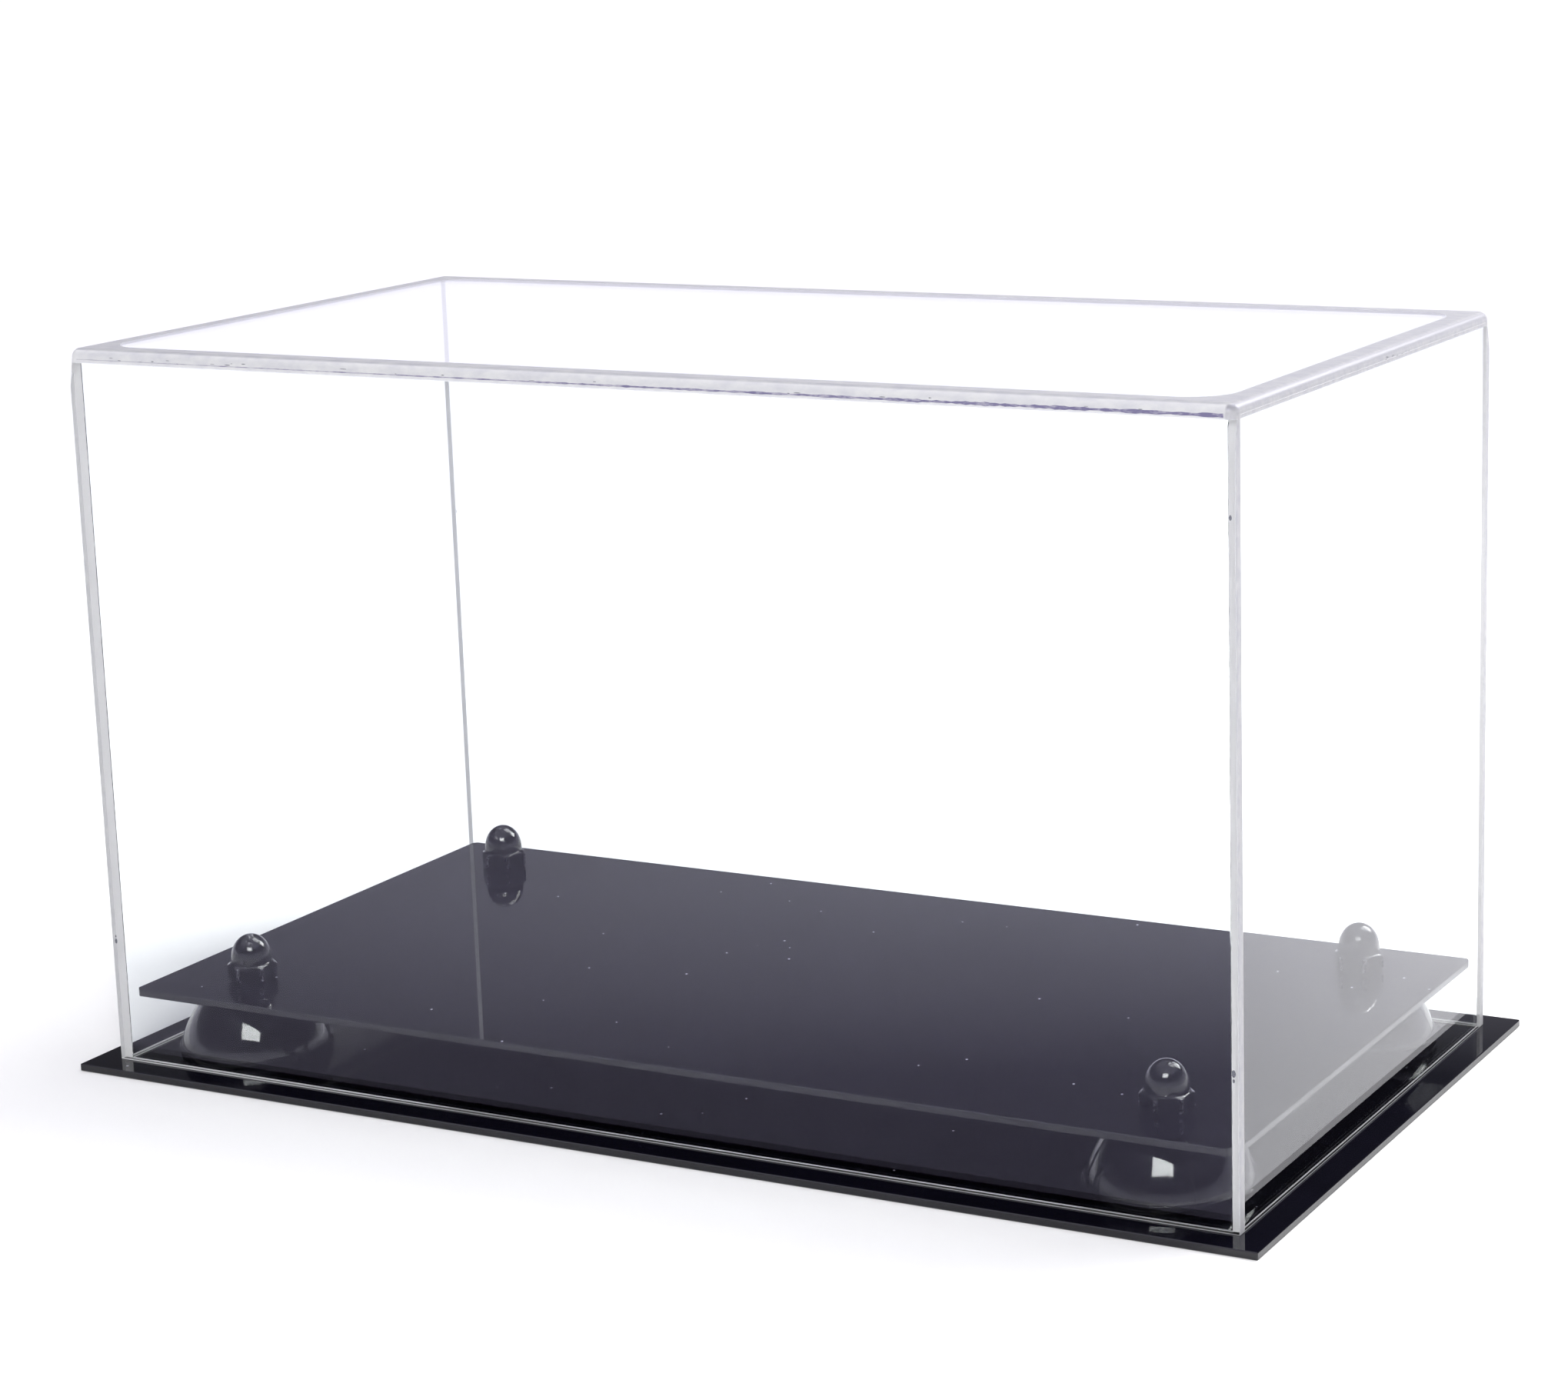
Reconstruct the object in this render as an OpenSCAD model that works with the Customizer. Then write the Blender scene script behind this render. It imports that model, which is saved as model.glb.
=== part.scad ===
// Table-top display case for one collectible: a clear cemented cover that lifts
// straight off a black base, and a black platform raised on four bell-shaped feet.
// Origin: centre of the base plate's underside. +X runs along the long front,
// +Y to the back and +Z up. All sizes are in millimetres.

/* [Cover] */
// Outside length of the cover, left to right
cover_l = 387; // [320:1:460]
// Outside depth of the cover, front to back
cover_w = 203; // [180:1:260]
// Outside height of the cover
cover_h = 229; // [120:1:300]
// Thickness of the clear sheets
wall = 3.2; // [2.4:0.1:5]
// Radius of the buffed edges round the top sheet
top_round = 2.8; // [0.5:0.1:4.8]

/* [Base plate] */
// Length of the base plate
base_l = 405; // [395:1:480]
// Depth of the base plate
base_w = 222; // [211:1:280]
// Thickness of the base plate
base_t = 2.4; // [2.4:0.1:6]
// Chamfer scraped on the cut edges of the black sheets
edge_break = 0.3; // [0.1:0.05:0.6]

/* [Platform] */
// Thickness of the platform
platform_t = 2.4; // [2:0.1:6]
// Gap between the platform and the inside of the cover
platform_gap = 1.5; // [0.8:0.1:4]
// Radius of the platform's corners
platform_corner = 3; // [1:0.5:10]

/* [Feet] */
// Height of each foot, which is the gap under the platform
foot_h = 20.6; // [14:0.1:40]
// Diameter of the foot where it stands on the base
foot_d = 49; // [36:1:50]
// Diameter of the foot under the platform
foot_top_d = 30; // [22:1:34]
// Height of the upright rim round the foot
foot_rim = 3; // [1:0.1:5]
// Radius that blends the rim into the sloping side
foot_blend = 3; // [0.5:0.1:6]
// Wall thickness of the moulded foot
foot_wall = 2.4; // [1.6:0.1:4]
// Distance of the feet from the centre, left to right
foot_x = 160; // [110:1:162]
// Distance of the feet from the centre, front to back
foot_y = 73; // [55:0.5:73]

/* [Cap nuts and screws] */
// Width of the nut across its flats
nut_flats = 14; // [13:0.1:17]
// Height of the nut's hexagon
nut_hex_h = 6; // [5:0.1:8]
// Diameter of the nut's dome
dome_d = 13; // [12:0.1:13.6]
// Height of the whole nut
nut_h = 15; // [14.5:0.1:18]
// Thread diameter of the screws
screw_d = 8; // [6:0.1:8]
// Diameter of the countersunk head
head_d = 15; // [12:0.1:16]
// Length of the screw, over its head
screw_l = 34; // [32:0.5:35]

/* [Hidden] */
$fn = 96;

// Play between the screw and every hole that it passes through
screw_play = 0.15;
// Length of the parallel land at the rim of the countersunk head
head_land = 0.4;
// Across flats and depth of the hexagon socket in the head
socket_flats = 5;
socket_depth = 2.4;
// Chamfer at the end of the thread, and at the corners of the nut
thread_end = 0.9;
nut_chamfer = 0.9;
// Depth of thread in the nut, and the roof left over the foot's hollow
nut_bore_depth = 10.5;
foot_roof = 3;
foot_boss_d = 20;
// Rounding of the cover's upright edges, and a cutter's overrun
arris = 0.5;
eps = 0.1;
// How far each nut has been turned when it was tightened
nut_turn_fl = 30;
nut_turn_fr = 27;
nut_turn_bl = 14;
nut_turn_br = 4;

platform_l = cover_l - 2 * (wall + platform_gap);
platform_w = cover_w - 2 * (wall + platform_gap);
platform_z = base_t + foot_h;
platform_top = platform_z + platform_t;
side_h = cover_h - wall;
head_h = (head_d - screw_d) / 2 + head_land;
top_r = min(top_round, wall - 0.2);

// ---- shared shapes ----

// Points of an arc about centre c, from angle a0 to a1
function arc(c, r, a0, a1, n = 8) =
    [for (i = [0:n]) c + r * [cos(a0 + (a1 - a0) * i / n), sin(a0 + (a1 - a0) * i / n)]];

// Square-cornered outline l by t whose corners are cut back by c
module cut_outline(l, t, c) {
    polygon([
        [-l / 2 + c, 0], [l / 2 - c, 0], [l / 2, c], [l / 2, t - c],
        [l / 2 - c, t], [-l / 2 + c, t], [-l / 2, t - c], [-l / 2, c]
    ]);
}

// Sheet l by w by t, standing on z = 0, with every arris cut back by c
module sheet(l, w, t, c) {
    intersection() {
        rotate([90, 0, 0]) linear_extrude(w, center = true) cut_outline(l, t, c);
        rotate([90, 0, 90]) linear_extrude(l, center = true) cut_outline(w, t, c);
        linear_extrude(t) translate([0, -w / 2]) cut_outline(l, w, c);
    }
}

// Places its children over the foot at one corner
module at_corner(side, end) {
    translate([side * foot_x, end * foot_y, 0]) children();
}

// Solid that the screw passes through, wider than the screw by its play
module screw_clearance() {
    cylinder(h = screw_l, d = screw_d + 2 * screw_play);
    translate([0, 0, head_land])
        cylinder(h = head_h - head_land, d1 = head_d + 2 * screw_play, d2 = screw_d + 2 * screw_play);
    translate([0, 0, -eps]) cylinder(h = head_land + eps, d = head_d + 2 * screw_play);
}

module all_screw_clearances() {
    for (side = [-1, 1], end = [-1, 1]) at_corner(side, end) screw_clearance();
}

// ---- base and platform ----

module base_plate() {
    color("#15151a") difference() {
        sheet(base_l, base_w, base_t, edge_break);
        all_screw_clearances();
    }
}

module rounded_plan(l, w, r) {
    square([l - 2 * r, w], center = true);
    square([l, w - 2 * r], center = true);
    for (x = [-1, 1], y = [-1, 1]) translate([x * (l / 2 - r), y * (w / 2 - r)]) circle(r);
}

module riser_platform() {
    color("#1b1b20") difference() {
        translate([0, 0, platform_z]) intersection() {
            linear_extrude(platform_t) rounded_plan(platform_l, platform_w, platform_corner);
            sheet(platform_l, platform_w, platform_t, edge_break);
        }
        all_screw_clearances();
    }
}

// ---- feet ----

// Half section of the foot: an upright rim, a blend and a sloping side, hollow
// underneath round a central boss. x is the radius and y the height.
module foot_section() {
    base_r = foot_d / 2;
    top_r = foot_top_d / 2;
    slope = atan2(foot_h - foot_rim, base_r - top_r);
    lean = 90 - slope;
    drop = foot_blend * tan(lean / 2);
    blend_c = [base_r - foot_blend, foot_rim - drop];
    inset = foot_wall / sin(slope);
    roof_z = foot_h - foot_roof;
    roof_r = top_r + foot_roof / tan(slope) - inset;
    polygon(concat(
        [[screw_d / 2 + screw_play, 0], [foot_boss_d / 2, 0], [foot_boss_d / 2, roof_z]],
        [[max(roof_r, foot_boss_d / 2 + 1), roof_z]],
        [[base_r - inset, foot_rim], [base_r - foot_wall, 0], [base_r, 0]],
        arc(blend_c, foot_blend, 0, lean),
        arc([top_r - edge_break, foot_h - edge_break], edge_break, lean, 90, 3),
        [[screw_d / 2 + screw_play, foot_h]]
    ));
}

module foot() {
    color("#101014") difference() {
        translate([0, 0, base_t]) rotate_extrude() foot_section();
        screw_clearance();
    }
}

module foot_front_left() { at_corner(-1, -1) foot(); }
module foot_front_right() { at_corner(1, -1) foot(); }
module foot_back_left() { at_corner(-1, 1) foot(); }
module foot_back_right() { at_corner(1, 1) foot(); }

// ---- screws ----

// Countersunk screw, its head flush with the underside of the base plate
module screw() {
    r = screw_d / 2;
    color("#3a3b3f") difference() {
        rotate_extrude() polygon([
            [0, 0], [head_d / 2, 0], [head_d / 2, head_land], [r, head_h],
            [r, screw_l - thread_end], [r - thread_end, screw_l], [0, screw_l]
        ]);
        translate([0, 0, -eps]) cylinder(h = socket_depth + eps, d = socket_flats / cos(30), $fn = 6);
    }
}

module screw_front_left() { at_corner(-1, -1) screw(); }
module screw_front_right() { at_corner(1, -1) screw(); }
module screw_back_left() { at_corner(-1, 1) screw(); }
module screw_back_right() { at_corner(1, 1) screw(); }

// ---- cap nuts ----

// Domed cap nut: a hexagon with turned-down corners under a round-topped barrel
module cap_nut(turn) {
    corner_r = nut_flats / 2 / cos(30);
    drop = nut_chamfer * tan(30);
    color("#0d0d10") translate([0, 0, platform_top]) difference() {
        union() {
            intersection() {
                rotate(turn) cylinder(h = nut_hex_h, r = corner_r, $fn = 6);
                rotate_extrude() polygon([
                    [0, 0], [corner_r - nut_chamfer, 0], [corner_r, drop],
                    [corner_r, nut_hex_h - drop], [corner_r - nut_chamfer, nut_hex_h], [0, nut_hex_h]
                ]);
            }
            cylinder(h = nut_h - dome_d / 2, d = dome_d);
            translate([0, 0, nut_h - dome_d / 2]) sphere(d = dome_d);
        }
        translate([0, 0, -eps]) cylinder(h = nut_bore_depth + eps, d = screw_d + 2 * screw_play);
    }
}

module nut_front_left() { at_corner(-1, -1) cap_nut(nut_turn_fl); }
module nut_front_right() { at_corner(1, -1) cap_nut(nut_turn_fr); }
module nut_back_left() { at_corner(-1, 1) cap_nut(nut_turn_bl); }
module nut_back_right() { at_corner(1, 1) cap_nut(nut_turn_br); }

// ---- cover ----

// Long side sheet, full length, with its two outer upright edges eased
module long_side(end) {
    color("#dfe6ea", 0.3) translate([0, end * (cover_w - wall) / 2, base_t]) linear_extrude(side_h)
        scale([1, end]) polygon([
            [-cover_l / 2, -wall / 2], [cover_l / 2, -wall / 2], [cover_l / 2, wall / 2 - arris],
            [cover_l / 2 - arris, wall / 2], [-cover_l / 2 + arris, wall / 2],
            [-cover_l / 2, wall / 2 - arris]
        ]);
}

// Short side sheet, which fits between the two long ones
module short_side(side) {
    color("#dfe6ea", 0.3) translate([side * (cover_l - wall) / 2, 0, base_t])
        linear_extrude(side_h) square([wall, cover_w - 2 * wall], center = true);
}

// Outline of the top sheet's end: square below, rounded at both upper corners
module top_outline(l) {
    polygon(concat(
        [[-l / 2, 0], [l / 2, 0]],
        arc([l / 2 - top_r, wall - top_r], top_r, 0, 90),
        arc([-l / 2 + top_r, wall - top_r], top_r, 90, 180)
    ));
}

module cover_front() { long_side(-1); }
module cover_back() { long_side(1); }
module cover_left() { short_side(-1); }
module cover_right() { short_side(1); }

module cover_top() {
    color("#dfe6ea", 0.3) translate([0, 0, base_t + side_h]) intersection() {
        rotate([90, 0, 0]) linear_extrude(cover_w, center = true) top_outline(cover_l);
        rotate([90, 0, 90]) linear_extrude(cover_l, center = true) top_outline(cover_w);
    }
}

base_plate();
riser_platform();
foot_front_left();
foot_front_right();
foot_back_left();
foot_back_right();
screw_front_left();
screw_front_right();
screw_back_left();
screw_back_right();
nut_front_left();
nut_front_right();
nut_back_left();
nut_back_right();
cover_front();
cover_back();
cover_left();
cover_right();
cover_top();
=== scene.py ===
"""Looks of a clear lift-off display case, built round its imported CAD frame.

The file is laid out as an add-on and run as a script. Each piece of the case has an
operator, and the sizes and colours that a user would change are properties.
"""

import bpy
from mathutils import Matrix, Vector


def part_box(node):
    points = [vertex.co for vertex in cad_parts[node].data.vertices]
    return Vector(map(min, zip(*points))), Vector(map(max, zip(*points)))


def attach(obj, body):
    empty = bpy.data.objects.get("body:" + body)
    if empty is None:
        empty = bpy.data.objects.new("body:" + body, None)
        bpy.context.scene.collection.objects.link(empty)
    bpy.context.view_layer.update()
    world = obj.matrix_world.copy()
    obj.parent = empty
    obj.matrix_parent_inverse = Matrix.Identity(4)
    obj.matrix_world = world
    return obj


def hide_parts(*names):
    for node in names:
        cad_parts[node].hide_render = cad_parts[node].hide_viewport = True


bl_info = {
    "name": "Display Case Looks",
    "version": (1, 0, 0),
    "blender": (4, 5, 0),
    "location": "View3D > Sidebar > Display Case",
    "description": "Clear cover, black riser base and domed nuts of a table-top display case",
    "category": "Object",
}

import math

import bpy
import numpy as np
from bpy.props import FloatProperty, FloatVectorProperty, IntProperty, PointerProperty, StringProperty
from mathutils import Matrix, Vector

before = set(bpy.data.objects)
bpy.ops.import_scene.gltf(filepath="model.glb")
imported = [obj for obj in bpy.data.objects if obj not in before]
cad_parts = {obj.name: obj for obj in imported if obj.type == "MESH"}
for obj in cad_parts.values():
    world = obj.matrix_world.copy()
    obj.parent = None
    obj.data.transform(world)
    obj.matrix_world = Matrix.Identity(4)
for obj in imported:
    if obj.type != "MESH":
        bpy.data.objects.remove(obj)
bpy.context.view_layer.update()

MM = 0.001
CORNERS = ("front_left", "front_right", "back_left", "back_right")
COVER_SHEETS = ("cover_front", "cover_back", "cover_left", "cover_right", "cover_top")
# How far each cap nut has been turned when it was tightened, in degrees
NUT_TURNS = {"front_left": 30, "front_right": 27, "back_left": 14, "back_right": 4}
# Bubbles left in the cement of the upright joints: corner, share of the height, length
UPRIGHT_VOIDS = (
    ("front_right", 0.881, 1.5 * MM),
    ("front_right", 0.205, 2.2 * MM),
    ("front_right", 0.196, 1.2 * MM),
    ("front_left", 0.175, 1.7 * MM),
    ("front_left", 0.182, 0.9 * MM),
    ("back_left", 0.640, 1.3 * MM),
    ("back_right", 0.330, 1.6 * MM),
    ("back_right", 0.905, 1.1 * MM),
)


# ---- colours and shader nodes ----


def linear(value):
    """An sRGB hex colour such as "#1a2b3c" as the linear RGBA that a shader takes."""
    channels = [int(value[i : i + 2], 16) / 255 for i in (1, 3, 5)]
    return [c / 12.92 if c <= 0.04045 else ((c + 0.055) / 1.055) ** 2.4 for c in channels] + [1.0]


def add_node(tree, kind, output, inputs=(), **settings):
    """Adds a shader node, sets its settings, and fills its inputs with values or other nodes' outputs.

    The inputs are given by name or number, or as a list in the order of the node's sockets. Returns
    the output of that name or number, or all of the outputs where output is None.
    """
    node = tree.nodes.new("ShaderNode" + kind)
    for name, value in settings.items():
        setattr(node, name, value)
    for name, value in inputs.items() if isinstance(inputs, dict) else enumerate(inputs):
        if isinstance(value, bpy.types.NodeSocket):
            tree.links.new(value, node.inputs[name])
        else:
            node.inputs[name].default_value = value
    return node.outputs if output is None else node.outputs[output]


def new_material(name):
    """An empty node material and its tree."""
    material = bpy.data.materials.new(name)
    material.use_nodes = True
    material.node_tree.nodes.clear()
    return material, material.node_tree


# The sockets of a Mix node that mixes colours: factor, colour at 0, colour at 1, and the result
FACTOR, AT_0, AT_1, MIXED = 0, 6, 7, 2
# How clear and how rough a cut acrylic edge is, and the share of its painted glow left on the right,
# dimmed there as painted shade
EDGE_CLEAR, EDGE_ROUGH, RIGHT_GLOW = 0.16, 0.35, 0.2
# Index of refraction of acrylic sheet and cement, and of the glossy mouldings and enamel
ACRYLIC_IOR, GLOSS_IOR = 1.49, 1.42


# ---- materials ----


def painted_light_bands(tree, place):
    """Three patterns over the cover, each from 0 to 1: where a sheet's cut edge lies at or behind the
    surface, painted pale there as painted light; how much of the painted glow comes out there, which
    is none on the top face and a fifth on the right, dimmed there as painted shade; and the rounded
    top edge of the right side, painted darker as painted shade.

    The cut edges are the rim round the top, with its round inner contour, the ends of the front and
    back sheets, and the foot of the cover, whose pale line of painted light gives way to painted shade
    along most of the front. Each is a difference of distances, softened a little.
    """
    half_x, half_y, bottom, top, wall = cover_sizes()
    band, contour, soft = 7.5 * MM, 13 * MM, 0.15 * MM
    folded = add_node(tree, "VectorMath", "Vector", [place], operation="ABSOLUTE")
    x, y, z = add_node(tree, "SeparateXYZ", None, [folded])
    past_x = add_node(tree, "Math", 0, [x, half_x - wall], operation="SUBTRACT")
    past_y = add_node(tree, "Math", 0, [y, half_y - wall], operation="SUBTRACT")
    past = add_node(tree, "Math", 0, [past_x, past_y], operation="MAXIMUM")
    outside = add_node(tree, "MapRange", "Result", [past, -0.3 * MM, -0.1 * MM])
    seam = top - wall
    under_top = add_node(tree, "MapRange", "Result", [z, seam - 1.2 * MM, seam - MM])
    rim = add_node(tree, "Math", 0, [outside, under_top], operation="MULTIPLY")
    at_end = add_node(tree, "MapRange", "Result", [x, half_x - 0.25 * MM, half_x - 0.1 * MM])
    in_sheet = add_node(tree, "MapRange", "Result", [past_y, 0.0, 0.1 * MM])
    sheet_end = add_node(tree, "Math", 0, [at_end, in_sheet], operation="MULTIPLY")
    rim = add_node(tree, "Math", 0, [rim, sheet_end], operation="MAXIMUM")
    # a band round the top face with a round inner contour, painted pale as painted light
    inner = (half_x - band - contour, half_y - band - contour, 10.0)
    beyond = add_node(tree, "VectorMath", "Vector", [folded, inner], operation="SUBTRACT")
    beyond = add_node(tree, "VectorMath", "Vector", [beyond, (0, 0, 0)], operation="MAXIMUM")
    away = add_node(tree, "VectorMath", "Value", [beyond], operation="LENGTH")
    ring = add_node(tree, "MapRange", "Result", [away, contour - soft, contour])
    on_top = add_node(tree, "MapRange", "Result", [z, top - 0.6 * MM, top - 0.3 * MM])
    ring = add_node(tree, "Math", 0, [ring, on_top], operation="MULTIPLY")
    # a pale line painted along the cover's foot as painted light, taken back by painted shade along most
    # of the front
    foot_line = add_node(tree, "MapRange", "Result", [z, bottom + 0.3 * MM, bottom + 0.5 * MM, 0.95, 0.0])
    along, across, _ = add_node(tree, "SeparateXYZ", None, [place])
    at_front = add_node(tree, "MapRange", "Result",
                        [across, wall - half_y, 1.2 * wall - half_y, 1.0, 0.0])
    shaded = add_node(tree, "MapRange", "Result", [along, -160 * MM, -60 * MM, 0.0, 0.6])
    shaded = add_node(tree, "Math", 0, [at_front, shaded], operation="MULTIPLY")
    foot_line = add_node(tree, "Math", 0, [foot_line, shaded], operation="SUBTRACT")
    bands = add_node(tree, "Math", 0, [rim, ring], operation="MAXIMUM")
    bands = add_node(tree, "Math", 0, [bands, foot_line], operation="MAXIMUM")
    # the glow is dimmed to a fifth on the right side below the top: painted shade
    right = add_node(tree, "MapRange", "Result", [along, half_x - wall, half_x - 0.8 * wall])
    glow = add_node(tree, "MapRange", "Result", [right, 0.0, 1.0, 1.0, RIGHT_GLOW])
    below = add_node(tree, "Math", 0, [bands, on_top], operation="SUBTRACT", use_clamp=True)
    glow = add_node(tree, "Math", 0, [glow, below], operation="MULTIPLY")
    # the rounded top edge of the right side, which is painted darker: painted shade
    rounded = add_node(tree, "MapRange", "Result", [z, top - 2.2 * MM, top - 1.1 * MM])
    rounded = add_node(tree, "Math", 0, [rounded, on_top], operation="SUBTRACT")
    rounded = add_node(tree, "Math", 0, [rounded, right], operation="MULTIPLY", use_clamp=True)
    return bands, glow, rounded


def clear_cast_acrylic(finish):
    """Cast acrylic sheet (PMMA), 3 mm, buffed at its edges: water-clear, with pale, bright edges that are
    painted light.

    The sheets pipe light to their edges; the edges are painted light grey and nearly solid, with an
    emitted glow, as painted light that stands for it. The IOR is below PMMA's 1.49, so that the faces
    mirror this white room only as strongly as a darker room, and the violet tint of the mirror image
    stands for that room's light. The casting wave is some 60 mm long and under 0.02 mm deep. Cleaning
    leaves hairline wipes, and buffing leaves marks along the edges, both drawn coarser than real so
    that they show.
    """
    material, tree = new_material("clear_cast_acrylic")
    place = add_node(tree, "TexCoord", "Object")
    edge, glow, rounded = painted_light_bands(tree, place)
    along = add_node(tree, "Mapping", "Vector", {"Vector": place, "Scale": (0.15, 0.4, 0.25)})
    buffing = add_node(tree, "TexNoise", "Fac",
                       {"Vector": along, "Scale": 1 / (0.8 * MM), "Detail": 4.0, "Roughness": 0.65})
    buffing = add_node(tree, "MapRange", "Result", [buffing, 0.35, 0.7])
    # pale edge colour: painted light that stands for light piped to the edges and refracted there
    pale = add_node(tree, "Mix", MIXED,
                    {FACTOR: buffing, AT_0: linear(finish.painted_light_edge),
                     AT_1: linear(finish.painted_light_edge_buffed)}, data_type="RGBA")
    # the rounded right top edge takes a darker colour: painted shade over the back light's highlight there
    pale = add_node(tree, "Mix", MIXED,
                    {FACTOR: rounded, AT_0: pale, AT_1: linear(finish.painted_shade_right_edge)}, data_type="RGBA")
    colour = add_node(tree, "Mix", MIXED,
                      {FACTOR: edge, AT_0: linear(finish.clear_tint), AT_1: pale}, data_type="RGBA")
    # the edges glow though they are no lamp: painted light
    strength = add_node(tree, "Math", 0, [glow, finish.piped_strength], operation="MULTIPLY")
    clear = add_node(tree, "MapRange", "Result", [edge, 0.0, 1.0, 1.0, EDGE_CLEAR])
    upright = add_node(tree, "Mapping", "Vector", {"Vector": place, "Scale": (1, 1, 0.08)})
    wipes = add_node(tree, "TexNoise", "Fac",
                     {"Vector": upright, "Scale": 1 / (1.1 * MM), "Detail": 3.0, "Roughness": 0.65})
    rough = add_node(tree, "MapRange", "Result", [wipes, 0.62, 0.8, 0.0, 0.03])
    rough = add_node(tree, "Math", 0, [edge, EDGE_ROUGH, rough], operation="MULTIPLY_ADD")
    wave = add_node(tree, "TexNoise", "Fac", {"Vector": place, "Scale": 1 / (60 * MM), "Detail": 1.0})
    wave = add_node(tree, "Bump", "Normal", {"Height": wave, "Distance": 0.02 * MM, "Strength": 1.0})
    shader = add_node(tree, "BsdfPrincipled", "BSDF", {
        "Base Color": colour,
        "Emission Color": linear(finish.piped_light),
        "Emission Strength": strength,
        "Transmission Weight": clear,
        "IOR": finish.clear_ior,
        "Specular Tint": linear(finish.clear_gloss),
        "Roughness": rough,
        "Normal": wave,
    })
    add_node(tree, "OutputMaterial", None, {"Surface": shader})
    return material


def black_cast_acrylic(finish):
    """Black cast acrylic sheet with polished faces and sawn edges: a deep mirror-like black.

    Faces carry a faint wiping haze, and stray specks of dust under a millimetre wide; the edges keep
    saw marks 0.7 mm apart, drawn a little coarser than real so that they show.
    """
    material, tree = new_material("black_cast_acrylic")
    place = add_node(tree, "TexCoord", "Object")
    facing = add_node(tree, "NewGeometry", "Normal")
    upward = add_node(tree, "SeparateXYZ", "Z", [facing])
    upward = add_node(tree, "Math", 0, [upward], operation="ABSOLUTE")
    edge = add_node(tree, "MapRange", "Result", [upward, 0.2, 0.6, 1.0, 0.0])
    wiped = add_node(tree, "Mapping", "Vector", {"Vector": place, "Scale": (1, 2.2, 1)})
    haze = add_node(tree, "TexNoise", "Fac",
                    {"Vector": wiped, "Scale": 1 / (45 * MM), "Detail": 4.0, "Roughness": 0.6})
    # one cell in every few holds a round speck, chosen by the cell's own random colour
    cell = add_node(tree, "TexVoronoi", None, {"Vector": place, "Scale": 1 / (5.5 * MM)})
    near = add_node(tree, "MapRange", "Result", [cell["Distance"], 0.05, 0.09, 1.0, 0.0])
    chosen = add_node(tree, "SeparateColor", 0, [cell["Color"]])
    chosen = add_node(tree, "Math", 0, [chosen, finish.dust_share], operation="LESS_THAN")
    dust = add_node(tree, "Math", 0, [near, chosen], operation="MULTIPLY")
    body = add_node(tree, "Mix", MIXED,
                    {FACTOR: haze, AT_0: linear(finish.black_sheet),
                     AT_1: linear(finish.black_sheet_worn)}, data_type="RGBA")
    body = add_node(tree, "Mix", MIXED,
                    {FACTOR: dust, AT_0: body, AT_1: linear(finish.dust)}, data_type="RGBA")
    rough = add_node(tree, "MapRange", "Result", [haze, 0.35, 0.75, 0.015, 0.05])
    rough = add_node(tree, "Math", 0, [edge, 0.16, rough], operation="MULTIPLY_ADD")
    rough = add_node(tree, "Math", 0, [dust, 0.6, rough], operation="MULTIPLY_ADD")
    sawn = add_node(tree, "Mapping", "Vector", {"Vector": place, "Scale": (1, 1, 0.12)})
    saw = add_node(tree, "TexNoise", "Fac", {"Vector": sawn, "Scale": 1 / (0.7 * MM)})
    saw = add_node(tree, "Math", 0, [saw, edge], operation="MULTIPLY")
    wave = add_node(tree, "TexNoise", "Fac", {"Vector": place, "Scale": 1 / (70 * MM), "Detail": 1.0})
    wave = add_node(tree, "Bump", "Normal", {"Height": wave, "Distance": 0.03 * MM, "Strength": 1.0})
    marks = add_node(tree, "Bump", "Normal",
                     {"Height": saw, "Distance": 0.05 * MM, "Strength": 0.6, "Normal": wave})
    shader = add_node(tree, "BsdfPrincipled", "BSDF", {
        "Base Color": body,
        "Roughness": rough,
        "IOR": ACRYLIC_IOR,
        "Normal": marks,
    })
    add_node(tree, "OutputMaterial", None, {"Surface": shader})
    return material


def moulded_black_abs(finish):
    """Injection-moulded black ABS, high gloss: slight orange peel 2 mm across, and handling smears."""
    material, tree = new_material("moulded_black_abs")
    place = add_node(tree, "TexCoord", "Object")
    smear = add_node(tree, "TexNoise", "Fac",
                     {"Vector": place, "Scale": 1 / (14 * MM), "Detail": 3.0, "Roughness": 0.6})
    body = add_node(tree, "Mix", MIXED,
                    {FACTOR: smear, AT_0: linear(finish.moulding), AT_1: linear(finish.moulding_worn)},
                    data_type="RGBA")
    rough = add_node(tree, "MapRange", "Result", [smear, 0.3, 0.8, 0.05, 0.11])
    peel = add_node(tree, "TexNoise", "Fac", {"Vector": place, "Scale": 1 / (2.2 * MM)})
    peel = add_node(tree, "Bump", "Normal", {"Height": peel, "Distance": 0.02 * MM, "Strength": 0.5})
    shader = add_node(tree, "BsdfPrincipled", "BSDF", {
        "Base Color": body,
        "Roughness": rough,
        "IOR": GLOSS_IOR,
        "Normal": peel,
    })
    add_node(tree, "OutputMaterial", None, {"Surface": shader})
    return material


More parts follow.
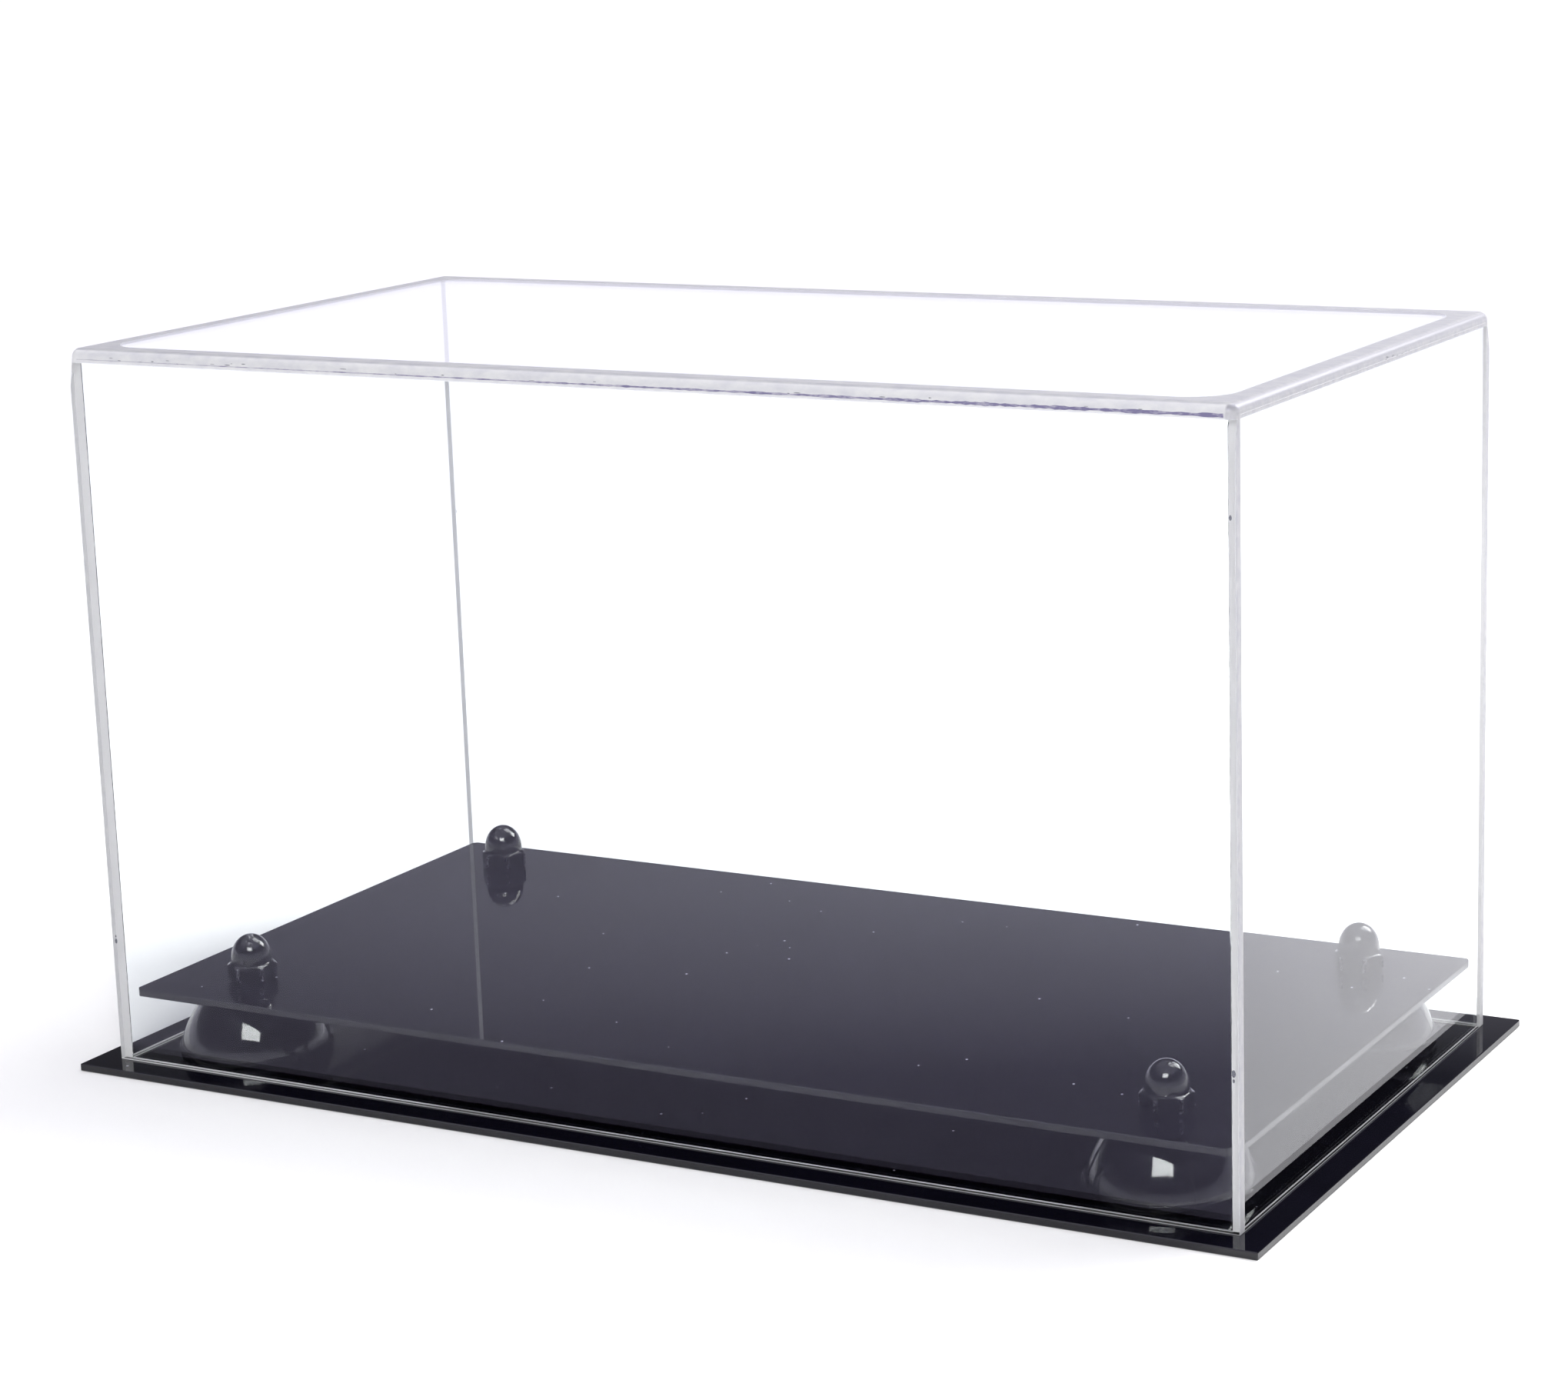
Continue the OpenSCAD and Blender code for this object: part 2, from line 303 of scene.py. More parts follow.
def black_enamelled_steel(finish):
    """Steel cap nut under baked gloss black enamel, which is thin and rubbed on the hexagon's corners.

    The enamel flows into soft ripples about 1.6 mm long.
    """
    material, tree = new_material("black_enamelled_steel")
    place = add_node(tree, "TexCoord", "Object")
    corner = add_node(tree, "Attribute", "Fac", attribute_name="rubbed")
    chips = add_node(tree, "TexNoise", "Fac",
                     {"Vector": place, "Scale": 1 / (0.9 * MM), "Detail": 3.0, "Roughness": 0.7})
    chips = add_node(tree, "MapRange", "Result", [chips, 0.45, 0.62])
    rubbed = add_node(tree, "Math", 0, [corner, chips], operation="MULTIPLY")
    thin = add_node(tree, "TexNoise", "Fac", {"Vector": place, "Scale": 1 / (6 * MM)})
    body = add_node(tree, "Mix", MIXED,
                    {FACTOR: thin, AT_0: linear(finish.enamel), AT_1: linear(finish.enamel_thin)},
                    data_type="RGBA")
    body = add_node(tree, "Mix", MIXED,
                    {FACTOR: rubbed, AT_0: body, AT_1: linear(finish.rubbed_steel)}, data_type="RGBA")
    rough = add_node(tree, "TexNoise", "Fac", {"Vector": place, "Scale": 1 / (3.5 * MM), "Detail": 3.0})
    rough = add_node(tree, "MapRange", "Result", [rough, 0.35, 0.7, 0.04, 0.09])
    rough = add_node(tree, "Math", 0, [rubbed, 0.25, rough], operation="MULTIPLY_ADD")
    ripple = add_node(tree, "TexNoise", "Fac", {"Vector": place, "Scale": 1 / (1.6 * MM), "Detail": 1.0})
    ripple = add_node(tree, "Bump", "Normal", {"Height": ripple, "Distance": 0.02 * MM, "Strength": 0.5})
    shader = add_node(tree, "BsdfPrincipled", "BSDF", {
        "Base Color": body,
        "Roughness": rough,
        "IOR": GLOSS_IOR,
        "Normal": ripple,
    })
    add_node(tree, "OutputMaterial", None, {"Surface": shader})
    return material


def black_oxide_steel(finish):
    """Machine screw in black-oxide steel: a dark conversion coat, oily and uneven, turned below."""
    material, tree = new_material("black_oxide_steel")
    place = add_node(tree, "TexCoord", "Object")
    blotch = add_node(tree, "TexNoise", "Fac",
                      {"Vector": place, "Scale": 1 / (2.5 * MM), "Detail": 4.0, "Roughness": 0.6})
    body = add_node(tree, "Mix", MIXED,
                    {FACTOR: blotch, AT_0: linear(finish.oxide), AT_1: linear(finish.oxide_thin)},
                    data_type="RGBA")
    rough = add_node(tree, "MapRange", "Result", [blotch, 0.3, 0.7, 0.3, 0.46])
    turned = add_node(tree, "Mapping", "Vector", {"Vector": place, "Scale": (1, 1, 6)})
    grain = add_node(tree, "TexNoise", "Fac", {"Vector": turned, "Scale": 1 / (0.5 * MM)})
    grain = add_node(tree, "Bump", "Normal", {"Height": grain, "Distance": 0.02 * MM, "Strength": 0.5})
    shader = add_node(tree, "BsdfPrincipled", "BSDF", {
        "Base Color": body,
        "Metallic": 1.0,
        "Roughness": rough,
        "Normal": grain,
    })
    add_node(tree, "OutputMaterial", None, {"Surface": shader})
    return material


def solvent_cement(finish):
    """Dried acrylic cement in a joint: pale where it ran, partly from its cloudiness and partly as painted
    light with a painted glow for piped light, and dark where it starved.

    Clouds are about 3 mm long, and each strip says for itself how far it is starved.
    """
    material, tree = new_material("solvent_cement")
    place = add_node(tree, "TexCoord", "Object")
    long = add_node(tree, "Mapping", "Vector", {"Vector": place, "Scale": (0.35, 0.35, 1)})
    cloud = add_node(tree, "TexNoise", "Fac",
                     {"Vector": long, "Scale": 1 / (0.9 * MM), "Detail": 4.0, "Roughness": 0.6})
    starved = add_node(tree, "Attribute", "Fac", attribute_name="starved")
    patchy = add_node(tree, "MapRange", "Result", [cloud, 0.35, 0.65, 0.55, 1.15])
    dark = add_node(tree, "Math", 0, [starved, patchy], operation="MULTIPLY")
    # the pale colour is partly the cement's cloudiness and partly painted light
    body = add_node(tree, "Mix", MIXED,
                    {FACTOR: dark, AT_0: linear(finish.cement_cloud_and_painted_light), AT_1: linear(finish.cement_dark)},
                    data_type="RGBA")
    solid = add_node(tree, "MapRange", "Result", [dark, 0.0, 0.5, 0.88, 1.0])
    # the cement glows though it is no lamp: painted light for light piped along the joint
    glow = add_node(tree, "MapRange", "Result", [dark, 0.0, 0.4, finish.cement_strength, 0.0])
    rough = add_node(tree, "MapRange", "Result", [cloud, 0.3, 0.7, 0.3, 0.6])
    shader = add_node(tree, "BsdfPrincipled", "BSDF", {
        "Base Color": body,
        "Alpha": solid,
        "Emission Color": linear(finish.piped_light),
        "Emission Strength": glow,
        "Roughness": rough,
        "IOR": ACRYLIC_IOR,
    })
    add_node(tree, "OutputMaterial", None, {"Surface": shader})
    return material


def cement_void(finish):
    """A bubble dried into the cement, which reads as a dark fleck with a soft rim."""
    material, tree = new_material("cement_void")
    place = add_node(tree, "TexCoord", "Object")
    mottle = add_node(tree, "TexNoise", "Fac", {"Vector": place, "Scale": 1 / (0.4 * MM)})
    body = add_node(tree, "Mix", MIXED,
                    {FACTOR: mottle, AT_0: linear(finish.void_dark), AT_1: linear(finish.void_light)},
                    data_type="RGBA")
    rough = add_node(tree, "MapRange", "Result", [mottle, 0.3, 0.7, 0.2, 0.4])
    shader = add_node(tree, "BsdfPrincipled", "BSDF", {"Base Color": body, "Roughness": rough})
    add_node(tree, "OutputMaterial", None, {"Surface": shader})
    return material


def studio_paper(stage):
    """Matt background paper, with a faint cloudiness 80 mm across. It is a shade deeper round the
    case, where the lamps are brightest, so that it looks even."""
    material, tree = new_material("studio_paper")
    place = add_node(tree, "TexCoord", "Object")
    away = add_node(tree, "VectorMath", "Value", [place], operation="LENGTH")
    away = add_node(tree, "MapRange", "Result", [away, 0.5, 3.0, 0.0, 0.95])
    cloud = add_node(tree, "TexNoise", "Fac", {"Vector": place, "Scale": 1 / (80 * MM), "Detail": 3.0})
    far = add_node(tree, "Math", 0, [cloud, 0.06, away], operation="MULTIPLY_ADD")
    body = add_node(tree, "Mix", MIXED,
                    {FACTOR: far, AT_0: linear(stage.floor_near), AT_1: linear(stage.floor_colour)},
                    data_type="RGBA")
    shader = add_node(tree, "BsdfPrincipled", "BSDF", {
        "Base Color": body,
        "Roughness": 0.9,
        "Specular IOR Level": 0.2,
    })
    add_node(tree, "OutputMaterial", None, {"Surface": shader})
    return material


# ---- surfaces ----


def ring_surface(name, rings, closed=False, normals=None, smooth_to=30):
    """A mesh on a grid of points rings[i, j]: every ring i is closed, and neighbours are joined by quads.

    Each quad takes the points (i, j), (i, j+1), (i+1, j+1), (i+1, j), so a ring that runs
    anticlockwise seen from the way the rings advance gives outward faces. With closed the last
    ring joins the first, and otherwise each end is closed by one flat face.
    """
    count, around = rings.shape[:2]
    index = np.arange(count * around).reshape(count, around)
    here = index if closed else index[:-1]
    beyond = np.roll(index, -1, axis=0) if closed else index[1:]
    quads = np.stack([here, np.roll(here, -1, 1), np.roll(beyond, -1, 1), beyond], axis=-1)
    faces = quads.reshape(-1, 4).tolist()
    if not closed:
        faces += [index[0][::-1].tolist(), index[-1].tolist()]
    mesh = bpy.data.meshes.new(name)
    mesh.from_pydata(rings.reshape(-1, 3).tolist(), [], faces)
    mesh.update()
    mesh.shade_smooth()
    if normals is None:
        mesh.set_sharp_from_angle(angle=math.radians(smooth_to))
    else:
        mesh.normals_split_custom_set_from_vertices(normals.reshape(-1, 3).tolist())
    piece = bpy.data.objects.new(name, mesh)
    bpy.context.scene.collection.objects.link(piece)
    return piece


def point_values(piece, name, values):
    """Stores one number for each point of a piece, for its material to read."""
    layer = piece.data.attributes.new(name, "FLOAT", "POINT")
    layer.data.foreach_set("value", np.asarray(values, np.float32).ravel())


def arc(centre, radius, start, end, steps):
    """Points centre + radius (cos a, sin a) for steps + 1 angles a from start to end, in degrees."""
    a = np.radians(np.linspace(start, end, steps + 1))
    return np.stack([centre[0] + radius * np.cos(a), centre[1] + radius * np.sin(a)], axis=-1)


def joined(*stretches):
    """One outline from several stretches of points, without the points that repeat."""
    points = np.concatenate([np.atleast_2d(np.array(s, float)) for s in stretches])
    step = np.linalg.norm(np.diff(points, axis=0), axis=1)
    return points[np.concatenate([[True], step > 1e-7])]


def turned_rings(section, around):
    """Rings (r cos t, r sin t, z) for each point (r, z) of a section, t in even steps round the axis."""
    t = np.linspace(0, 2 * math.pi, around, endpoint=False)
    r, z = section[:, :1], section[:, 1:]
    return np.stack([r * np.cos(t), r * np.sin(t), z + 0 * t], axis=-1)


def hexagon_radius(t, flats, soften):
    """Distance from the axis to a hexagon in direction t: half the flats over cos of the angle from
    the nearest flat's middle, with each corner cut back by soften."""
    from_flat = (t + math.pi / 6) % (math.pi / 3) - math.pi / 6
    return np.minimum(flats / 2 / np.cos(from_flat), flats / 2 / math.cos(math.pi / 6) - soften)


def rounded_plan(half_x, half_y, radius, steps):
    """A rounded rectangle, anticlockwise: four quarter arcs of the given radius about centres set in
    from the corners by it. Returns its points and the outward directions at them, in plan.

    half_x, half_y and radius are columns with one row for each rectangle.
    """
    a = np.linspace(0, math.pi / 2, steps + 1)
    quarters = np.concatenate([a + k * math.pi / 2 for k in range(4)])
    side_x = np.repeat([1, -1, -1, 1], steps + 1)
    side_y = np.repeat([1, 1, -1, -1], steps + 1)
    out = np.stack([np.cos(quarters), np.sin(quarters)], axis=-1)
    x = side_x * (half_x - radius) + radius * out[:, 0]
    y = side_y * (half_y - radius) + radius * out[:, 1]
    return x, y, out


def finished(piece, material, body, slot, *nodes):
    """Gives a piece its material and the body it rides on, and hides the CAD nodes it stands for. The slot
    is not used.
    """
    piece.data.materials.clear()
    piece.data.materials.append(material)
    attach(piece, body)
    if nodes:
        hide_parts(*nodes)


def node_centre(name):
    """Middle of a CAD node's box in plan."""
    low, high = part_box(name)
    return (low.x + high.x) / 2, (low.y + high.y) / 2


# ---- sizes and colours that a user would change ----


def millimetres(name, description, default, low, high):
    """A length, given in millimetres and kept in metres."""
    return FloatProperty(name=name, description=description, default=default * MM, min=low * MM,
                         max=high * MM, subtype="DISTANCE", unit="LENGTH")


def hex_colour(name, description, default):
    """A colour as sRGB hex, such as "#101014"."""
    return StringProperty(name=name, description=description, default=default)


class DISPLAYCASE_PG_cover(bpy.types.PropertyGroup):
    """The clear cover."""

    top_round: millimetres("Top edge radius", "Radius of the buffed edges round the top", 2.8, 0.5, 3)
    corner_round: millimetres("Top corner radius", "Plan radius of the top's four corners", 3.1, 3, 8)
    corner_fade: millimetres("Corner fade", "Height over which the round corner runs out", 3, 2, 30)
    arris: millimetres("Upright edge radius", "Radius scraped on the upright outer edges", 0.45, 0.1, 1)
    fillet: millimetres("Cement fillet", "Radius that the cement leaves in the inner corners", 0.2, 0.1, 2)
    rim_arris: millimetres("Rim edge radius", "Radius scraped on the cover's lower rim", 0.25, 0.05, 1)


class DISPLAYCASE_PG_fittings(bpy.types.PropertyGroup):
    """Feet, cap nuts and screws."""

    foot_top: millimetres("Foot top", "Diameter of the foot under the platform", 30, 22, 34)
    foot_rim: millimetres("Foot rim", "Height of the upright rim round the foot", 3, 1, 5)
    foot_ledge: millimetres("Foot ledge", "Width of the ledge between rim and bowed side", 0.7, 0.3, 2)
    foot_wall: millimetres("Foot wall", "Wall thickness of the moulding", 2.4, 1.6, 4)
    boss: millimetres("Foot boss", "Diameter of the boss inside the foot", 20, 12, 24)
    bore: millimetres("Screw hole", "Diameter of the holes for the screws", 8.3, 6, 9)
    nut_flats: millimetres("Nut across flats", "Width of the nut across its flats", 14, 13, 17)
    nut_hex: millimetres("Nut hexagon height", "Height of the nut's hexagon", 6, 5, 8)
    dome: millimetres("Dome diameter", "Diameter of the nut's dome", 13, 12, 13.6)
    thread_pitch: millimetres("Thread pitch", "Distance between turns of the thread", 1.25, 0.8, 1.75)
    around: IntProperty(
        name="Steps round", description="Number of steps round each turned piece",
        default=144, min=24, max=288)


class DISPLAYCASE_PG_finish(bpy.types.PropertyGroup):
    """Colours, each an sRGB hex value, with the light at the edges and the amount of dust."""

    clear_tint: hex_colour("Clear sheet", "Tint of the clear sheet", "#fbfdfe")
    clear_gloss: hex_colour("Clear sheet gloss", "Tint of the clear sheet's mirror image", "#dcd6ff")
    clear_ior: FloatProperty(
        name="Clear sheet IOR", description="How strongly the clear sheet bends and mirrors light",
        default=1.31, min=1.2, max=1.6)
    # emitted glow of the sheets' edges and the cement: painted light, since neither is a lamp
    piped_light: hex_colour("Piped light", "Light that the sheets pipe to their edges", "#fdfefe")
    piped_strength: FloatProperty(
        name="Piped light strength", description="Brightness of the light at the sheets' edges",
        default=0.22, min=0, max=1)
    cement_strength: FloatProperty(
        name="Cement light strength", description="Brightness of the piped light in the cement",
        default=0.22, min=0, max=1)
    # the two pale edge colours are painted light that stands for the light the sheets pipe to their edges
    painted_light_edge: hex_colour("Bright edges", "Cut edges of the clear sheets", "#a2a2a2")
    painted_light_edge_buffed: hex_colour("Bright edges, buffed", "Buffing marks on the edges", "#909096")
    # painted shade: a darker colour on the rounded right top edge, where the back light strikes
    painted_shade_right_edge: hex_colour("Bright edges, lit", "Edge that the back light strikes", "#7c7c80")
    black_sheet: hex_colour("Black sheet", "Black acrylic, clean", "#06060b")
    black_sheet_worn: hex_colour("Black sheet, hazed", "Black acrylic, wiped", "#0b0a13")
    dust: hex_colour("Dust", "Dust on the black sheet", "#9a9aa6")
    moulding: hex_colour("Feet", "Moulded feet", "#07070a")
    moulding_worn: hex_colour("Feet, handled", "Moulded feet where handled", "#0e0e13")
    enamel: hex_colour("Nuts", "Nut enamel", "#060608")
    enamel_thin: hex_colour("Nuts, thin", "Nut enamel where thin", "#101015")
    rubbed_steel: hex_colour("Nuts, rubbed", "Steel where the enamel is rubbed", "#4c4c52")
    oxide: hex_colour("Screws", "Black oxide", "#1c1d20")
    oxide_thin: hex_colour("Screws, thin", "Black oxide where thin", "#3a3b40")
    cement_dark: hex_colour("Cement, starved", "Dry parts of the joint", "#575370")
    # pale cement colour: partly cloudiness, partly painted light for light piped along the joint
    cement_cloud_and_painted_light: hex_colour("Cement", "Cloudy parts of the joint", "#b7b6b7")
    void_dark: hex_colour("Bubble", "Bubbles in the cement", "#23242b")
    void_light: hex_colour("Bubble rim", "Rims of bubbles in the cement", "#70727c")
    dust_share: FloatProperty(
        name="Dust", description="Share of 5 mm squares that hold a speck of dust",
        default=0.12, min=0, max=1, subtype="FACTOR")


class DISPLAYCASE_PG_stage(bpy.types.PropertyGroup):
    """Floor, lights and camera."""

    floor_colour: hex_colour("Floor", "Background paper", "#f6f5f8")
    floor_near: hex_colour("Floor, near", "Background paper round the case", "#d7d7d5")
    floor_width: FloatProperty(
        name="Floor width", description="Width of the square of paper",
        default=60, min=2, max=200, subtype="DISTANCE", unit="LENGTH")
    key_power: FloatProperty(
        name="Key light", description="Power of the soft box over the camera",
        default=27, min=0, max=400, unit="POWER")
    back_power: FloatProperty(
        name="Back light", description="Power of the panel behind the case",
        default=15, min=0, max=400, unit="POWER")
    even_light: FloatProperty(
        name="Even light", description="Strength of the broad light over the whole floor",
        default=1.8, min=0, max=20)
    azimuth: FloatProperty(
        name="Camera azimuth", description="Angle of the camera round from the front",
        default=math.radians(28.14), subtype="ANGLE", unit="ROTATION")
    elevation: FloatProperty(
        name="Camera elevation", description="Angle of the camera over the table",
        default=math.radians(12.89), subtype="ANGLE", unit="ROTATION")
    roll: FloatProperty(
        name="Camera roll", description="Tilt of the camera about its own axis",
        default=math.radians(-1.58), subtype="ANGLE", unit="ROTATION")
    distance: FloatProperty(
        name="Camera distance", description="Distance from the camera to the point that it aims at",
        default=1.1632, min=0.3, max=10, subtype="DISTANCE", unit="LENGTH")
    aim: FloatVectorProperty(
        name="Camera aim", description="Point on the camera's axis",
        default=(0.0263, 0.0137, 0.114), size=3, subtype="TRANSLATION", unit="LENGTH")
    lens: FloatProperty(
        name="Lens", description="Focal length, in millimetres on a 36 mm sensor",
        default=85.08, min=20, max=300)
    shift: FloatProperty(
        name="Lens shift", description="Sideways shift of the frame",
        default=-0.064, min=-0.5, max=0.5)


class DISPLAYCASE_PG_settings(bpy.types.PropertyGroup):
    """All the settings."""

    cover: PointerProperty(type=DISPLAYCASE_PG_cover)
    fittings: PointerProperty(type=DISPLAYCASE_PG_fittings)
    finish: PointerProperty(type=DISPLAYCASE_PG_finish)
    stage: PointerProperty(type=DISPLAYCASE_PG_stage)


# ---- the clear cover ----


def cover_sizes():
    """Outer half sizes of the cover, its foot and top heights and its sheet thickness, from the CAD."""
    low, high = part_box("cover_top")
    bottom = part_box("cover_front")[0].z
    return high.x, high.y, bottom, high.z, high.z - low.z


def cover_shell(cover):
    """The five cemented sheets as one clear body, since solvent cement leaves no gap in the plastic.

    A rounded rectangle is carried along a profile of (inset from the outer face, height): down the
    inner walls from the ceiling, across the rim, up the outer walls and over the rounded top edge.
    The corner radius grows from the upright edge's to the top's with a smooth step over the fade.
    The surface normal is the plan direction tilted by the profile's own slope.
    """
    half_x, half_y, bottom, top, wall = cover_sizes()
    r_top, r_in, r_rim = cover.top_round, cover.fillet, cover.rim_arris
    # each stretch of the profile is an arc about a point (inset, height) with its normal's tilt
    bends = (
        ((wall + r_in, top - wall - r_in), -r_in, 90, 0, -1),
        ((wall - r_rim, bottom + r_rim), r_rim, 0, -90, -1),
        ((r_rim, bottom + r_rim), r_rim, -90, 0, 1),
        ((r_top, top - r_top), r_top, 0, 90, 1),
    )
    inset, height, tilt_out, tilt_up = [], [], [], []
    steps = 10
    for (c_inset, c_height), radius, start, end, outward in bends:
        a = np.radians(np.linspace(start, end, steps + 1))
        reach = abs(radius)
        if radius < 0:  # a hollow corner: the surface faces its centre
            inset.append(c_inset - reach * np.cos(a))
            height.append(c_height + reach * np.sin(a))
            tilt_out.append(-np.cos(a))
            tilt_up.append(-np.sin(a))
        else:
            inset.append(c_inset - outward * reach * np.cos(a))
            height.append(c_height + reach * np.sin(a))
            tilt_out.append(outward * np.cos(a))
            tilt_up.append(np.sin(a))
    inset, height, tilt_out, tilt_up = (np.concatenate(v) for v in (inset, height, tilt_out, tilt_up))
    # runs along the outer walls, where the corner radius grows towards the top
    outer_start = 3 * (steps + 1)
    climb = np.linspace(bottom + r_rim, top - r_top, 26)[1:-1]
    inset = np.insert(inset, outer_start, 0 * climb)
    height = np.insert(height, outer_start, climb)
    tilt_out = np.insert(tilt_out, outer_start, 0 * climb + 1)
    tilt_up = np.insert(tilt_up, outer_start, 0 * climb)
    ease = np.clip((height - (top - r_top - cover.corner_fade)) / cover.corner_fade, 0, 1)
    ease = ease * ease * (3 - 2 * ease)
    outer_radius = cover.arris + (cover.corner_round - cover.arris) * ease
    is_inner = np.arange(len(inset)) < 2 * (steps + 1)
    radius = np.where(is_inner, r_in, np.maximum(outer_radius - inset, 0.05 * MM))
    x, y, out = rounded_plan((half_x - inset)[:, None], (half_y - inset)[:, None], radius[:, None], 8)
    z = np.broadcast_to(height[:, None], x.shape)
    rings = np.stack([x, y, z], axis=-1)
    plan = out[None] * tilt_out[:, None, None]
    normals = np.concatenate([plan, np.broadcast_to(tilt_up[:, None, None], x.shape + (1,))], axis=-1)
    return ring_surface("cover_shell", rings, normals=normals)


def joint_lines():
    """The eight cemented joints: start, direction, length, outward direction, the cement's half
    thickness at the start and at the end, and how far it is starved there.

    Each joint lies between the face of one sheet and the edge of the next: four under the top
    sheet and one up each corner. The start is on the outer face.
    """
    half_x, half_y, bottom, top, wall = cover_sizes()
    seam = top - wall
    x, y, z = np.eye(3)
    inner_y = half_y - wall
    long_run, short_run, rise = 2 * half_x, 2 * inner_y, seam - bottom
    thin = 0.04 * MM
    lines = [
        ((-half_x, -half_y, seam), x, long_run, -y, 0.09 * MM, 0.60 * MM, 0.60, 1.25),
        ((-half_x, half_y, seam), x, long_run, y, thin, thin, 0.0, 0.1),
        ((-half_x, -inner_y, seam), y, short_run, -x, thin, thin, 0.3, 0.1),
        ((half_x, -inner_y, seam), y, short_run, x, thin, 0.07 * MM, 0.1, 0.2),
    ]
    for side in (-1, 1):
        for end in (-1, 1):
            lines.append(((side * half_x, end * inner_y, bottom), z, rise, side * x, thin, thin, 0.0, 0.0))
    return lines, wall


def cement_joints():
    """Strips of cement that fill the joints and show as lines on the outer faces.

    A strip's section is the superellipse |w|^8 + |h|^8 = 1 of the sheet's width and the cement's
    thickness. The thickness runs from its start to its end value as the share of the length to the
    power 1.3, times a sum of three sines that starves and floods it.
    """
    lines, wall = joint_lines()
    proud, rings_to_a_strip, around = 0.05 * MM, 260, 16
    # the strips stop short of the top's round corners, and the upright ones run nearly full height
    ends = np.array([3.4, 3.4, 0.3, 0.3, 0.1, 0.1, 0.1, 0.1]) * MM
    draw = np.random.default_rng(7)
    turn = np.linspace(0, 2 * math.pi, around, endpoint=False)
    wide = np.sign(np.cos(turn)) * np.abs(np.cos(turn)) ** 0.25
    tall = np.sign(np.sin(turn)) * np.abs(np.sin(turn)) ** 0.25
    pieces = []
    share = np.linspace(0, 1, rings_to_a_strip)
    for index, line in enumerate(lines):
        start, along, length, outward, first, last, dark_first, dark_last = line
        s = ends[index] + share * (length - 2 * ends[index])
        waves = np.array([23, 7.1, 2.9]) * MM
        phases = draw.uniform(0, 2 * math.pi, (2, 3))
        starving = np.sin(2 * math.pi * s[:, None, None] / waves + phases).sum(-1) / 3
        thick = (first + (last - first) * share**1.3) * (1 + 0.6 * starving[:, 0])
        reach = wall / 2 - 0.04 * MM + 0.03 * MM * starving[:, 1]
        middle = proud - reach
        side = np.cross(along, outward)
        spread = middle[:, None] + reach[:, None] * wide
        height = thick[:, None] * tall
        rings = (
            np.array(start)
            + s[:, None, None] * along
            + spread[..., None] * outward
            + height[..., None] * side
        )
        strip = ring_surface(f"cement_joint_{index + 1}", rings)
        starved = dark_first + (dark_last - dark_first) * share
        point_values(strip, "starved", np.repeat(starved, around))
        pieces.append(strip)
    return pieces


def cement_voids():
    """Flat bubbles where the cement meets the outer faces, each an ellipsoid
    (a cos u sin v, b sin u sin v, c cos v) half sunk in the face."""
    half_x, half_y, bottom, top, wall = cover_sizes()
    lines, _ = joint_lines()
    rise = top - wall - bottom
    thin = 0.03 * MM
    places, sizes = [], []
    for corner, share, length in UPRIGHT_VOIDS:
        side = 1 if "right" in corner else -1
        end = -1 if "front" in corner else 1
        places.append((side * (half_x - 0.5 * wall), end * half_y, bottom + share * rise))
        sizes.append((0.28 * length, thin, 0.5 * length))
    draw = np.random.default_rng(11)
    # all along the front joint, and bunched in the right one: number, joint, middle and spread
    for count, line, middle, spread in ((26, lines[0], 0.5, 0.48), (9, lines[3], 0.60, 0.05)):
        start, along, length, outward = line[:4]
        for _ in range(count):
            s = length * np.clip(middle + spread * draw.uniform(-1, 1), 0.02, 0.98)
            up = draw.uniform(0.0, 1.0) * MM
            places.append(np.array(start) + s * along + np.array([0, 0, up]))
            long, tall = draw.uniform(0.3, 1.3) * MM, draw.uniform(0.06, 0.14) * MM
            sizes.append(np.abs(long * along + thin * outward) + np.array([0, 0, tall]))
    u = np.linspace(0, 2 * math.pi, 10, endpoint=False)
    v = np.linspace(0.12, math.pi - 0.12, 7)[::-1]
    unit = np.stack([
        np.sin(v)[:, None] * np.cos(u), np.sin(v)[:, None] * np.sin(u), np.cos(v)[:, None] + 0 * u,
    ], axis=-1)
    bubbles = []
    for index, (place, size) in enumerate(zip(np.array(places), np.array(sizes))):
        bubbles.append(ring_surface(f"bubble_{index}", place + unit * size, smooth_to=80))
    return bubbles


def joined_piece(name, parts):
    """Joins several meshes into one object of that name, and removes the parts."""
    bpy.ops.object.select_all(action="DESELECT")
    for part in parts:
        part.select_set(True)
    bpy.context.view_layer.objects.active = parts[0]
    bpy.ops.object.join()
    parts[0].name = parts[0].data.name = name
    return parts[0]


# ---- feet, nuts and screws ----


